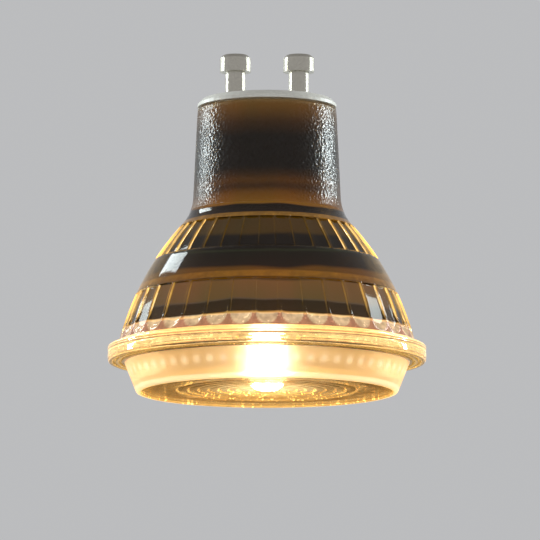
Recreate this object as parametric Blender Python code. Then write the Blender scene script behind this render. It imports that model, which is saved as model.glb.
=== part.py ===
"""Reflector spotlight bulb with a twist-in two-pin base, standing on its front lens.

The origin is the centre of the lens rim, where the bulb touches the ground. +Z runs up the bulb's own
axis, through the pressed-glass bowl and neck, to the two contact pins. The pins stand along X.
Everything inside is carried either by the glass bowl (light source) or by the base plug (driver).
"""

import math

import bmesh
import bpy
from mathutils import Matrix, Vector

MM = 0.001

# Fits shared by all pieces
SEAT_GAP = 0.3 * MM
CUT_OVERRUN = 1.0 * MM
MERGE_DISTANCE = 0.0005 * MM

# Rim, where the glass bowl and the lens meet
RIM_RADIUS = 25.0 * MM
RIM_EDGE_BEVEL = 0.3 * MM

# Front lens: flange, frosted skirt, ringed face and a collimating cup over the light source
SKIRT_HEIGHT = 5.25 * MM
SKIRT_TAPER = 1.9 * MM
SKIRT_WALL = 1.6 * MM
LENS_FLANGE_WIDTH = 2.6 * MM
LENS_FLANGE_THICKNESS = 0.85 * MM
LENS_SPIGOT_HEIGHT = 2.1 * MM
LENS_SPIGOT_WALL = 1.0 * MM
FACE_THICKNESS = 1.6 * MM
FACE_RECESS = 0.35 * MM
FACE_RIM_WIDTH = 0.8 * MM
FACE_FOOT_BEVEL = 0.25 * MM
FACE_RING_STEP = 0.25 * MM
FACE_RING_RADIUS_SHARES = (0.25, 0.4, 0.56, 0.73)
COLLIMATOR_FOOT_RADIUS = 7.5 * MM
COLLIMATOR_TOP_RADIUS = 4.4 * MM
COLLIMATOR_CUP_RADIUS = 3.3 * MM
COLLIMATOR_CUP_DEPTH = 3.0 * MM
LENS_SEGMENTS = 60

# Pressed-glass body: rim, bowl with two tiers of flutes, flare and neck
GLASS_RIM_THICKNESS = 0.95 * MM
RIM_LIP = 1.7 * MM
RIM_FILLET = 1.0 * MM
BOWL_HEIGHT = 18.9 * MM
BOWL_TURN = math.radians(27.0)
BOWL_WALL = 2.2 * MM
NECK_ROOT_RADIUS = 11.62 * MM
NECK_FLARE = 1.68 * MM
NECK_FLARE_HEIGHT = 3.7 * MM
NECK_FLARE_TURN = math.radians(39.0)
NECK_LENGTH = 14.0 * MM
NECK_TAPER = 0.67 * MM
NECK_WALL = 1.6 * MM
NECK_END_BEVEL = 0.25 * MM
FLUTE_COUNT = 36
FLUTE_DEPTH = 0.5 * MM
FLUTE_SEGMENTS = 3
LOWER_TIER_SHARES = (0.01, 0.38)
UPPER_TIER_SHARES = (0.66, 0.97)
TIER_ROW_SHARES = (0.0, 0.12, 0.5, 0.88, 1.0)
TIER_RUN_OUT_POWER = 6
BOWL_INNER_ROWS = 5
FLARE_ROWS = 3

# Aluminium heat spreader, pressed into the bowl
SPREADER_SHARES = (0.30, 0.56)
SPREADER_THICKNESS = 1.0 * MM
SPREADER_ROWS = 3
SPREADER_SEGMENTS = 54

# Light source: pad, board, ceramic package, phosphor and the two board screws
PAD_RADIUS = 11.0 * MM
PAD_THICKNESS = 0.4 * MM
LED_BOARD_RADIUS = 12.0 * MM
LED_BOARD_THICKNESS = 1.2 * MM
PACKAGE_WIDTH = 9.0 * MM
PACKAGE_THICKNESS = 0.8 * MM
PACKAGE_BEVEL = 0.15 * MM
PHOSPHOR_RADIUS = 3.0 * MM
PHOSPHOR_THICKNESS = 0.5 * MM
PHOSPHOR_BEVEL = 0.2 * MM
BOARD_SCREW_OFFSET = 8.4 * MM
SCREW_SHANK_RADIUS = 0.8 * MM
SCREW_HEAD_RADIUS = 1.6 * MM
SCREW_HEAD_HEIGHT = 1.1 * MM
SCREW_HEAD_BEVEL = 0.3 * MM
SCREW_SLOT_WIDTH = 0.45 * MM
SCREW_SLOT_DEPTH = 0.5 * MM
WIRE_HOLE_OFFSET = 8.2 * MM
WIRE_HOLE_RADIUS = 1.7 * MM
DISC_SEGMENTS = 40
HOLE_SEGMENTS = 16

# Base plug and contact pins
PLUG_FLANGE_THICKNESS = 1.2 * MM
PLUG_FLANGE_BEVEL = 0.7 * MM
PLUG_BOSS_HEIGHT = 0.6 * MM
PLUG_BOSS_BEVEL = 0.2 * MM
PLUG_END_WALL = 2.2 * MM
PLUG_SPIGOT_LENGTH = 4.3 * MM
PLUG_SPIGOT_WALL = 1.6 * MM
PLUG_SEGMENTS = 54
PIN_SPACING = 10.0 * MM
PIN_SHANK_RADIUS = 1.6 * MM
PIN_SHANK_LENGTH = 4.2 * MM
PIN_HEAD_RADIUS = 2.45 * MM
PIN_HEAD_LENGTH = 2.7 * MM
PIN_HEAD_BEVEL = 0.5 * MM
PIN_TAIL_RADIUS = 1.0 * MM
PIN_TAIL_LENGTH = 3.6 * MM
PIN_SEGMENTS = 24

# Driver board, hanging from the base plug, and what is soldered to it
BOARD_WIDTH = 15.0 * MM
BOARD_THICKNESS = 1.2 * MM
BOARD_OFFSET = 1.5 * MM
BOARD_FOOT_CLEARANCE = 3.5 * MM
PARTS_TOP_CLEARANCE = 2.2 * MM
PARTS_FOOT_CLEARANCE = 0.8 * MM
BULK_CAPACITOR_RADIUS = 3.15 * MM
BULK_CAPACITOR_HEIGHT = 11.0 * MM
BULK_CAPACITOR_OFFSET = 3.7 * MM
BULK_CAPACITOR_BEVEL = 0.5 * MM
BULK_CAPACITOR_GROOVE = 0.3 * MM
BULK_CAPACITOR_GROOVE_HEIGHT = 1.4 * MM
FILM_CAPACITOR_WIDTH = 6.0 * MM
FILM_CAPACITOR_DEPTH = 4.0 * MM
FILM_CAPACITOR_HEIGHT = 7.5 * MM
FILM_CAPACITOR_OFFSET = 3.8 * MM
CHOKE_RADIUS = 3.6 * MM
CHOKE_HEIGHT = 8.0 * MM
CHOKE_FLANGE_THICKNESS = 1.2 * MM
CHOKE_CORE_RADIUS = 1.6 * MM
CHOKE_WINDING_RADIUS = 3.1 * MM
CHOKE_OFFSET = 4.1 * MM
RECTIFIER_WIDTH = 4.7 * MM
RECTIFIER_DEPTH = 2.5 * MM
RECTIFIER_HEIGHT = 4.0 * MM
RECTIFIER_OFFSET = 3.9 * MM
CHIP_WIDTH = 4.9 * MM
CHIP_DEPTH = 1.6 * MM
CHIP_HEIGHT = 3.9 * MM
CHIP_OFFSET = 4.0 * MM
FUSE_RADIUS = 1.25 * MM
FUSE_LENGTH = 7.0 * MM
FUSE_OFFSET = 4.2 * MM
FUSE_WAIST = 0.25 * MM
FUSE_CAP_LENGTH = 1.4 * MM
COMPONENT_BEVEL = 0.3 * MM
COMPONENT_SEGMENTS = 20

# Insulated leads
LEAD_RADIUS = 0.45 * MM
LEAD_PITCH = 1.5 * MM
LEAD_OVERLAP = 2.2 * MM
LEAD_POINTS_PER_SPAN = 4
LEAD_BEVEL_RESOLUTION = 2

# Heights, worked out from the face upwards
LENS_FLANGE_TOP = SKIRT_HEIGHT + LENS_FLANGE_THICKNESS
RIM_BOTTOM = LENS_FLANGE_TOP + SEAT_GAP
RIM_TOP = RIM_BOTTOM + GLASS_RIM_THICKNESS
MOUTH_HEIGHT = RIM_TOP + RIM_FILLET
SHOULDER_HEIGHT = MOUTH_HEIGHT + BOWL_HEIGHT
NECK_ROOT_HEIGHT = SHOULDER_HEIGHT + NECK_FLARE_HEIGHT
NECK_END_HEIGHT = NECK_ROOT_HEIGHT + NECK_LENGTH
PLUG_SEAT_HEIGHT = NECK_END_HEIGHT + SEAT_GAP
BASE_FACE_HEIGHT = PLUG_SEAT_HEIGHT + PLUG_FLANGE_THICKNESS
PLUG_FOOT_HEIGHT = PLUG_SEAT_HEIGHT - PLUG_SPIGOT_LENGTH
BOARD_TOP = PLUG_FOOT_HEIGHT - SEAT_GAP

# Radii of the glass and of what fits it
MOUTH_RADIUS = RIM_RADIUS - RIM_LIP
MOUTH_BORE = MOUTH_RADIUS - BOWL_WALL
SHOULDER_RADIUS = NECK_ROOT_RADIUS + NECK_FLARE
NECK_END_RADIUS = NECK_ROOT_RADIUS - NECK_TAPER
NECK_END_BORE = NECK_END_RADIUS - NECK_WALL
LENS_SPIGOT_RADIUS = MOUTH_BORE - SEAT_GAP
SKIRT_TOP_RADIUS = RIM_RADIUS - LENS_FLANGE_WIDTH
SKIRT_FOOT_RADIUS = SKIRT_TOP_RADIUS - SKIRT_TAPER
PLUG_SPIGOT_RADIUS = NECK_END_BORE - SEAT_GAP
PLUG_BOSS_RADIUS = PIN_SPACING / 2.0 - PIN_HEAD_RADIUS - SEAT_GAP

# The driver board's two faces, where the parts are soldered
BOARD_FRONT = BOARD_OFFSET - SEAT_GAP
BOARD_BACK = BOARD_OFFSET + BOARD_THICKNESS + SEAT_GAP


def clear_scene():
    for old in list(bpy.data.objects):
        bpy.data.objects.remove(old)


def make_material(name, colour, roughness, metallic=0.0, transmission=0.0, glow=0.0):
    finish = bpy.data.materials.new(name)
    finish.use_nodes = True
    shader = finish.node_tree.nodes["Principled BSDF"]
    shader.inputs["Base Color"].default_value = (*colour, 1.0)
    shader.inputs["Roughness"].default_value = roughness
    shader.inputs["Metallic"].default_value = metallic
    shader.inputs["Transmission Weight"].default_value = transmission
    shader.inputs["Emission Color"].default_value = (*colour, 1.0)
    shader.inputs["Emission Strength"].default_value = glow
    finish.diffuse_color = (*colour, 1.0)
    return finish


def finish_mesh(name, mesh_builder, finish, smooth_angle=math.radians(35.0)):
    """Closes the builder's mesh, points its faces outwards and links it as one named object."""
    bmesh.ops.remove_doubles(mesh_builder, verts=mesh_builder.verts, dist=MERGE_DISTANCE)
    bmesh.ops.recalc_face_normals(mesh_builder, faces=mesh_builder.faces)
    mesh = bpy.data.meshes.new(name)
    mesh_builder.to_mesh(mesh)
    mesh_builder.free()
    mesh.shade_smooth()
    mesh.set_sharp_from_angle(angle=smooth_angle)
    mesh.materials.append(finish)
    piece = bpy.data.objects.new(name, mesh)
    bpy.context.scene.collection.objects.link(piece)
    return piece


def lay_outline(mesh_builder, outline, closed):
    """Lays (radius, height) points in the XZ plane, joined by edges in their order."""
    points = [mesh_builder.verts.new((radius, 0.0, height)) for radius, height in outline]
    followers = points[1:] + points[:1] if closed else points[1:]
    edges = [mesh_builder.edges.new(pair) for pair in zip(points, followers)]
    return points, edges


def turn_outline(mesh_builder, points, edges, segments):
    bmesh.ops.spin(
        mesh_builder,
        geom=points + edges,
        cent=(0.0, 0.0, 0.0),
        axis=(0.0, 0.0, 1.0),
        angle=math.tau,
        steps=segments,
        use_merge=True,
    )


def turned_piece(name, outline, segments, finish, closed=False, location=(0.0, 0.0, 0.0)):
    """A turned solid. An open outline starts and ends on the axis, a closed one goes round a bore."""
    mesh_builder = bmesh.new()
    points, edges = lay_outline(mesh_builder, outline, closed)
    turn_outline(mesh_builder, points, edges, segments)
    piece = finish_mesh(name, mesh_builder, finish)
    piece.location = location
    return piece


def box_piece(name, size, centre, bevel, finish):
    mesh_builder = bmesh.new()
    bmesh.ops.create_cube(mesh_builder, size=1.0, matrix=Matrix.Diagonal((*size, 1.0)))
    if bevel:
        bmesh.ops.bevel(
            mesh_builder,
            geom=mesh_builder.edges[:],
            offset=bevel,
            segments=1,
            profile=0.5,
            affect="EDGES",
            material=-1,
        )
    piece = finish_mesh(name, mesh_builder, finish)
    piece.location = centre
    return piece


def drill(piece, places, radius, low, high):
    """Cuts upright round holes at the (x, y) places, from below low to above high."""
    mesh_builder = bmesh.new()
    depth = high - low + 2.0 * CUT_OVERRUN
    for x, y in places:
        bmesh.ops.create_cone(
            mesh_builder,
            cap_ends=True,
            segments=HOLE_SEGMENTS,
            radius1=radius,
            radius2=radius,
            depth=depth,
            matrix=Matrix.Translation((x, y, (low + high) / 2.0)),
        )
    cutter = finish_mesh(piece.name + "_drill", mesh_builder, piece.data.materials[0])
    use_as_cutter(piece, cutter)


def use_as_cutter(piece, cutter):
    cutter.hide_render = True
    cutter.display_type = "WIRE"
    cut = piece.modifiers.new("cut", "BOOLEAN")
    cut.operation = "DIFFERENCE"
    cut.solver = "EXACT"
    cut.object = cutter


def arc_point(start, end, turning, share):
    """A point at a share of the way along the arc from start to end that turns by that angle.

    A positive turning bulges to the left of the way from start to end. Returns the point and the
    arc's unit normal there, which points to the bulging side.
    """
    chord = end - start
    radius = chord.length / (2.0 * math.sin(turning / 2.0))
    left = Vector((-chord.y, chord.x)).normalized()
    centre = (start + end) / 2.0 - left * radius * math.cos(turning / 2.0)
    swing = turning * (0.5 - share)
    normal = Matrix.Rotation(swing, 2) @ left
    return centre + normal * radius, normal


def bowl_point(share, inset=0.0):
    """A point of the bowl's outer arc, from the mouth (0) to the shoulder (1), moved inwards."""
    mouth = Vector((MOUTH_RADIUS, MOUTH_HEIGHT))
    shoulder = Vector((SHOULDER_RADIUS, SHOULDER_HEIGHT))
    point, normal = arc_point(shoulder, mouth, BOWL_TURN, 1.0 - share)
    return point - normal * inset


def flare_point(share, inset=0.0):
    """A point of the hollow flare between the shoulder (0) and the neck's root (1)."""
    shoulder = Vector((SHOULDER_RADIUS, SHOULDER_HEIGHT))
    root = Vector((NECK_ROOT_RADIUS, NECK_ROOT_HEIGHT))
    point, normal = arc_point(shoulder, root, NECK_FLARE_TURN, share)
    return point + normal * inset


def tier_rows(tier_shares):
    """The bowl shares of one tier's rows, each with the depth that its flutes have there."""
    low, high = tier_shares
    rows = []
    for row_share in TIER_ROW_SHARES:
        run_out = abs(2.0 * row_share - 1.0) ** TIER_RUN_OUT_POWER
        rows.append((low + (high - low) * row_share, FLUTE_DEPTH * (1.0 - run_out)))
    return rows


def glass_outline():
    """The glass body's section as (point, flute depth), round the outside and back down the bore."""
    rows = [
        (Vector((MOUTH_BORE, RIM_BOTTOM)), 0.0),
        (Vector((RIM_RADIUS - RIM_EDGE_BEVEL, RIM_BOTTOM)), 0.0),
        (Vector((RIM_RADIUS, RIM_BOTTOM + RIM_EDGE_BEVEL)), 0.0),
        (Vector((RIM_RADIUS, RIM_TOP - RIM_EDGE_BEVEL)), 0.0),
        (Vector((RIM_RADIUS - RIM_EDGE_BEVEL, RIM_TOP)), 0.0),
        (Vector((MOUTH_RADIUS + min(RIM_FILLET, RIM_LIP / 2.0), RIM_TOP)), 0.0),
    ]
    rows.append((bowl_point(0.0), 0.0))
    for share, depth in tier_rows(LOWER_TIER_SHARES) + tier_rows(UPPER_TIER_SHARES):
        rows.append((bowl_point(share), depth))
    for step in range(FLARE_ROWS + 1):
        rows.append((flare_point(step / FLARE_ROWS), 0.0))
    rows.append((Vector((NECK_END_RADIUS, NECK_END_HEIGHT - NECK_END_BEVEL)), 0.0))
    rows.append((Vector((NECK_END_RADIUS - NECK_END_BEVEL, NECK_END_HEIGHT)), 0.0))
    rows.append((Vector((NECK_END_BORE, NECK_END_HEIGHT)), 0.0))
    for step in range(FLARE_ROWS, 0, -1):
        share = step / FLARE_ROWS
        wall = NECK_WALL + (BOWL_WALL - NECK_WALL) * (1.0 - share)
        rows.append((flare_point(share, wall), 0.0))
    for step in range(BOWL_INNER_ROWS, -1, -1):
        point = bowl_point(step / BOWL_INNER_ROWS, BOWL_WALL)
        rows.append((Vector((min(point.x, MOUTH_BORE), point.y)), 0.0))
    return rows


def make_glass_body():
    """Turns the section, presses the flutes into its two tiers, and brings one flute to the front."""
    rows = glass_outline()
    mesh_builder = bmesh.new()
    depth_layer = mesh_builder.verts.layers.float.new("flute_depth")
    outline = [tuple(point) for point, depth in rows]
    points, edges = lay_outline(mesh_builder, outline, closed=True)
    for vertex, (point, depth) in zip(points, rows):
        vertex[depth_layer] = depth
    turn_outline(mesh_builder, points, edges, FLUTE_COUNT * FLUTE_SEGMENTS)
    flute_angle = math.tau / FLUTE_COUNT
    for vertex in mesh_builder.verts:
        if vertex[depth_layer] > 0.0:
            angle = math.atan2(vertex.co.y, vertex.co.x) / flute_angle
            across = 2.0 * (angle - math.floor(angle)) - 1.0
            cut = max(0.0, vertex[depth_layer] - FLUTE_DEPTH * across**2)
            radius = math.hypot(vertex.co.x, vertex.co.y)
            vertex.co.xy *= (radius - cut) / radius
    half_flute = Matrix.Rotation(flute_angle / 2.0, 3, "Z")
    bmesh.ops.rotate(mesh_builder, verts=mesh_builder.verts, cent=(0.0, 0.0, 0.0), matrix=half_flute)
    glass = make_material("clear_pressed_glass", (0.86, 0.74, 0.52), 0.04, transmission=0.9)
    return finish_mesh("glass_body", mesh_builder, glass, math.radians(20.0))


def face_outline(face_radius):
    """The recessed outer face from the axis to its rim, with one saw-tooth step for each ring."""
    outline = [(0.0, FACE_RECESS)]
    for share in FACE_RING_RADIUS_SHARES:
        outline.append((face_radius * share, FACE_RECESS))
        outline.append((face_radius * share, FACE_RECESS + FACE_RING_STEP))
    outline.append((face_radius * (1.0 + FACE_RING_RADIUS_SHARES[-1]) / 2.0, FACE_RECESS))
    outline.append((face_radius, FACE_RECESS))
    outline.append((face_radius, 0.0))
    return outline


def make_front_lens(source_height):
    """One moulding. source_height is the underside of the light source, which the cup stands under."""
    face_radius = SKIRT_FOOT_RADIUS - FACE_RIM_WIDTH
    inner_floor = FACE_RECESS + FACE_THICKNESS
    cup_top = source_height - SEAT_GAP
    bevel_drift = SKIRT_TAPER * FACE_FOOT_BEVEL / SKIRT_HEIGHT
    inner_foot = SKIRT_FOOT_RADIUS - SKIRT_WALL + SKIRT_TAPER * inner_floor / SKIRT_HEIGHT
    outline = face_outline(face_radius)
    outline += [
        (SKIRT_FOOT_RADIUS - FACE_FOOT_BEVEL, 0.0),
        (SKIRT_FOOT_RADIUS + bevel_drift, FACE_FOOT_BEVEL),
        (SKIRT_TOP_RADIUS, SKIRT_HEIGHT),
        (RIM_RADIUS - RIM_EDGE_BEVEL, SKIRT_HEIGHT),
        (RIM_RADIUS, SKIRT_HEIGHT + RIM_EDGE_BEVEL),
        (RIM_RADIUS, LENS_FLANGE_TOP - RIM_EDGE_BEVEL),
        (RIM_RADIUS - RIM_EDGE_BEVEL, LENS_FLANGE_TOP),
        (LENS_SPIGOT_RADIUS, LENS_FLANGE_TOP),
        (LENS_SPIGOT_RADIUS, LENS_FLANGE_TOP + LENS_SPIGOT_HEIGHT),
        (LENS_SPIGOT_RADIUS - LENS_SPIGOT_WALL, LENS_FLANGE_TOP + LENS_SPIGOT_HEIGHT),
        (LENS_SPIGOT_RADIUS - LENS_SPIGOT_WALL, LENS_FLANGE_TOP),
        (inner_foot, inner_floor),
        (COLLIMATOR_FOOT_RADIUS, inner_floor),
        (COLLIMATOR_TOP_RADIUS, cup_top),
        (COLLIMATOR_CUP_RADIUS, cup_top),
        (COLLIMATOR_CUP_RADIUS, cup_top - COLLIMATOR_CUP_DEPTH),
        (0.0, cup_top - COLLIMATOR_CUP_DEPTH),
    ]
    plastic = make_material("frosted_lens_plastic", (1.0, 0.80, 0.50), 0.3, transmission=0.8, glow=0.3)
    return turned_piece("front_lens", outline, LENS_SEGMENTS, plastic)


def make_heat_spreader():
    """A drawn aluminium cup: a floor for the light source and a wall that hugs the bowl's inside."""
    low, high = SPREADER_SHARES
    shares = [low + (high - low) * step / SPREADER_ROWS for step in range(SPREADER_ROWS + 1)]
    outside = [bowl_point(share, BOWL_WALL + SEAT_GAP) for share in shares]
    inside = [bowl_point(share, BOWL_WALL + SEAT_GAP + SPREADER_THICKNESS) for share in shares]
    floor = outside[0].y
    roof = floor + SPREADER_THICKNESS
    outline = [(0.0, floor)]
    outline += [tuple(point) for point in outside]
    outline += [tuple(point) for point in reversed(inside) if point.y > roof]
    outline += [(inside[0].x - SPREADER_THICKNESS / 2.0, roof), (0.0, roof)]
    aluminium = make_material("spun_aluminium", (0.80, 0.80, 0.81), 0.35, metallic=1.0)
    spreader = turned_piece("heat_spreader", outline, SPREADER_SEGMENTS, aluminium)
    drill_board_holes(spreader, floor, roof)
    return floor, roof


def drill_board_holes(piece, low, high):
    """The two screw holes and the wire hole that the spreader, the pad and the board share."""
    screw_hole = SCREW_SHANK_RADIUS + SEAT_GAP
    drill(piece, [(BOARD_SCREW_OFFSET, 0.0), (-BOARD_SCREW_OFFSET, 0.0)], screw_hole, low, high)
    drill(piece, [(0.0, WIRE_HOLE_OFFSET)], WIRE_HOLE_RADIUS, low, high)


def disc_outline(radius, low, high):
    return [(0.0, low), (radius, low), (radius, high), (0.0, high)]


def make_light_source(spreader_floor, spreader_roof):
    """Pad, board, package and phosphor, hung under the spreader's floor. Returns the two heights
    that other pieces need: the underside of the board and the underside of the phosphor."""
    pad_top = spreader_floor - SEAT_GAP
    pad_foot = pad_top - PAD_THICKNESS
    silicone = make_material("grey_silicone_pad", (0.45, 0.47, 0.50), 0.8)
    pad = turned_piece("thermal_pad", disc_outline(PAD_RADIUS, pad_foot, pad_top), DISC_SEGMENTS, silicone)
    drill_board_holes(pad, pad_foot, pad_top)

    board_top = pad_foot - SEAT_GAP
    board_foot = board_top - LED_BOARD_THICKNESS
    white_mask = make_material("white_solder_mask", (0.90, 0.89, 0.86), 0.45)
    outline = disc_outline(LED_BOARD_RADIUS, board_foot, board_top)
    board = turned_piece("led_board", outline, DISC_SEGMENTS, white_mask)
    drill_board_holes(board, board_foot, board_top)

    package_foot = board_foot - SEAT_GAP - PACKAGE_THICKNESS
    ceramic = make_material("white_ceramic", (0.88, 0.87, 0.83), 0.5)
    package_size = Vector((PACKAGE_WIDTH, PACKAGE_WIDTH, PACKAGE_THICKNESS))
    package_centre = (0.0, 0.0, package_foot + PACKAGE_THICKNESS / 2.0)
    box_piece("led_package", package_size, package_centre, PACKAGE_BEVEL, ceramic)

    phosphor_top = package_foot - SEAT_GAP
    phosphor_foot = phosphor_top - PHOSPHOR_THICKNESS
    phosphor = make_material("lit_phosphor", (1.0, 0.72, 0.32), 0.5, glow=8.0)
    outline = [
        (0.0, phosphor_foot),
        (PHOSPHOR_RADIUS - PHOSPHOR_BEVEL, phosphor_foot),
        (PHOSPHOR_RADIUS, phosphor_foot + PHOSPHOR_BEVEL),
        (PHOSPHOR_RADIUS, phosphor_top),
        (0.0, phosphor_top),
    ]
    turned_piece("led_phosphor", outline, DISC_SEGMENTS, phosphor)

    steel = make_material("zinc_plated_steel", (0.70, 0.70, 0.68), 0.35, metallic=1.0)
    for side, name in ((-1.0, "board_screw_left"), (1.0, "board_screw_right")):
        make_board_screw(name, side * BOARD_SCREW_OFFSET, board_foot, spreader_roof, steel)
    return board_foot, phosphor_foot


def make_board_screw(name, x, board_foot, tip, finish):
    """A slotted pan-head screw, pointing up through the board and the pad into the spreader."""
    head_top = board_foot - SEAT_GAP
    head_foot = head_top - SCREW_HEAD_HEIGHT
    outline = [
        (0.0, head_foot),
        (SCREW_HEAD_RADIUS - SCREW_HEAD_BEVEL, head_foot),
        (SCREW_HEAD_RADIUS, head_foot + SCREW_HEAD_BEVEL),
        (SCREW_HEAD_RADIUS, head_top),
        (SCREW_SHANK_RADIUS, head_top),
        (SCREW_SHANK_RADIUS, tip),
        (0.0, tip),
    ]
    screw = turned_piece(name, outline, HOLE_SEGMENTS, finish, location=(x, 0.0, 0.0))
    slot_height = SCREW_SLOT_DEPTH + CUT_OVERRUN
    slot_size = Vector((2.0 * (SCREW_HEAD_RADIUS + CUT_OVERRUN), SCREW_SLOT_WIDTH, slot_height))
    slot_centre = (x, 0.0, head_foot + SCREW_SLOT_DEPTH - slot_height / 2.0)
    use_as_cutter(screw, box_piece(name + "_slot", slot_size, slot_centre, 0.0, finish))


def make_base_plug():
    """The moulded end of the neck: a bevelled flange outside, a hollow spigot inside and a low boss between the pins."""
    ceiling = BASE_FACE_HEIGHT - PLUG_END_WALL
    boss_top = BASE_FACE_HEIGHT + PLUG_BOSS_HEIGHT
    spigot_bore = PLUG_SPIGOT_RADIUS - PLUG_SPIGOT_WALL
    outline = [
        (0.0, ceiling),
        (spigot_bore, ceiling),
        (spigot_bore, PLUG_FOOT_HEIGHT),
        (PLUG_SPIGOT_RADIUS, PLUG_FOOT_HEIGHT),
        (PLUG_SPIGOT_RADIUS, PLUG_SEAT_HEIGHT),
        (NECK_END_RADIUS, PLUG_SEAT_HEIGHT),
        (NECK_END_RADIUS, BASE_FACE_HEIGHT - PLUG_FLANGE_BEVEL),
        (NECK_END_RADIUS - PLUG_FLANGE_BEVEL, BASE_FACE_HEIGHT),
        (PLUG_BOSS_RADIUS, BASE_FACE_HEIGHT),
        (PLUG_BOSS_RADIUS, boss_top - PLUG_BOSS_BEVEL),
        (PLUG_BOSS_RADIUS - PLUG_BOSS_BEVEL, boss_top),
        (0.0, boss_top),
    ]
    plastic = make_material("ivory_heatproof_plastic", (0.86, 0.84, 0.78), 0.45)
    plug = turned_piece("base_plug", outline, PLUG_SEGMENTS, plastic)
    places = [(PIN_SPACING / 2.0, 0.0), (-PIN_SPACING / 2.0, 0.0)]
    drill(plug, places, PIN_TAIL_RADIUS + SEAT_GAP, ceiling, BASE_FACE_HEIGHT)


def make_contact_pins():
    """Two turned pins with mushroom heads. Their tails go down through the plug to the leads."""
    shank_foot = BASE_FACE_HEIGHT + SEAT_GAP
    head_foot = shank_foot + PIN_SHANK_LENGTH
    head_top = head_foot + PIN_HEAD_LENGTH
    tail_foot = shank_foot - PIN_TAIL_LENGTH
    outline = [
        (0.0, tail_foot),
        (PIN_TAIL_RADIUS, tail_foot),
        (PIN_TAIL_RADIUS, shank_foot),
        (PIN_SHANK_RADIUS, shank_foot),
        (PIN_SHANK_RADIUS, head_foot),
        (PIN_HEAD_RADIUS, head_foot),
        (PIN_HEAD_RADIUS, head_top - PIN_HEAD_BEVEL),
        (PIN_HEAD_RADIUS - PIN_HEAD_BEVEL, head_top),
        (0.0, head_top),
    ]
    nickel = make_material("nickel_plated_brass", (0.76, 0.73, 0.66), 0.25, metallic=1.0)
    for side, name in ((-1.0, "contact_pin_left"), (1.0, "contact_pin_right")):
        place = (side * PIN_SPACING / 2.0, 0.0, 0.0)
        turned_piece(name, outline, PIN_SEGMENTS, nickel, location=place)
    return tail_foot


def make_driver_board(board_foot):
    size = Vector((BOARD_WIDTH, BOARD_THICKNESS, BOARD_TOP - board_foot))
    centre = (0.0, BOARD_OFFSET + BOARD_THICKNESS / 2.0, (BOARD_TOP + board_foot) / 2.0)
    fibreglass = make_material("green_fibreglass", (0.10, 0.32, 0.16), 0.4)
    box_piece("driver_board", size, centre, 0.0, fibreglass)


def make_front_parts(board_foot):
    """The two capacitors and the choke, on the board's front."""
    top = BOARD_TOP - PARTS_TOP_CLEARANCE
    sleeve = make_material("black_capacitor_sleeve", (0.06, 0.06, 0.08), 0.35)
    groove_radius = BULK_CAPACITOR_RADIUS - BULK_CAPACITOR_GROOVE
    rim = BULK_CAPACITOR_RADIUS - BULK_CAPACITOR_BEVEL
    low = top - BULK_CAPACITOR_HEIGHT
    groove_low = low + BULK_CAPACITOR_GROOVE_HEIGHT
    outline = [
        (0.0, low),
        (rim, low),
        (BULK_CAPACITOR_RADIUS, low + BULK_CAPACITOR_BEVEL),
        (BULK_CAPACITOR_RADIUS, groove_low),
        (groove_radius, groove_low + BULK_CAPACITOR_GROOVE),
        (BULK_CAPACITOR_RADIUS, groove_low + 2.0 * BULK_CAPACITOR_GROOVE),
        (BULK_CAPACITOR_RADIUS, top - BULK_CAPACITOR_BEVEL),
        (rim, top),
        (0.0, top),
    ]
    place = (-BULK_CAPACITOR_OFFSET, BOARD_FRONT - BULK_CAPACITOR_RADIUS, 0.0)
    turned_piece("bulk_capacitor", outline, COMPONENT_SEGMENTS, sleeve, location=place)

    size = Vector((FILM_CAPACITOR_WIDTH, FILM_CAPACITOR_DEPTH, FILM_CAPACITOR_HEIGHT))
    centre = (FILM_CAPACITOR_OFFSET, BOARD_FRONT - size.y / 2.0, top - size.z / 2.0)
    resin = make_material("yellow_film_resin", (0.80, 0.58, 0.12), 0.4)
    box_piece("film_capacitor", size, centre, COMPONENT_BEVEL, resin)

    make_choke(board_foot + PARTS_FOOT_CLEARANCE)


def make_choke(low):
    """A ferrite spool with its copper winding, standing beside the board's foot."""
    high = low + CHOKE_HEIGHT
    place = (CHOKE_OFFSET, BOARD_FRONT - CHOKE_RADIUS, 0.0)
    outline = [
        (0.0, low),
        (CHOKE_RADIUS, low),
        (CHOKE_RADIUS, low + CHOKE_FLANGE_THICKNESS),
        (CHOKE_CORE_RADIUS, low + CHOKE_FLANGE_THICKNESS),
        (CHOKE_CORE_RADIUS, high - CHOKE_FLANGE_THICKNESS),
        (CHOKE_RADIUS, high - CHOKE_FLANGE_THICKNESS),
        (CHOKE_RADIUS, high),
        (0.0, high),
    ]
    ferrite = make_material("grey_ferrite", (0.12, 0.12, 0.13), 0.6)
    turned_piece("choke_core", outline, COMPONENT_SEGMENTS, ferrite, location=place)
    winding_low = low + CHOKE_FLANGE_THICKNESS + SEAT_GAP
    winding_high = high - CHOKE_FLANGE_THICKNESS - SEAT_GAP
    winding_bore = CHOKE_CORE_RADIUS + SEAT_GAP
    outline = [
        (winding_bore, winding_low),
        (CHOKE_WINDING_RADIUS, winding_low),
        (CHOKE_WINDING_RADIUS, winding_high),
        (winding_bore, winding_high),
    ]
    copper = make_material("enamelled_copper", (0.72, 0.32, 0.12), 0.3, metallic=1.0)
    turned_piece("choke_winding", outline, COMPONENT_SEGMENTS, copper, closed=True, location=place)


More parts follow.
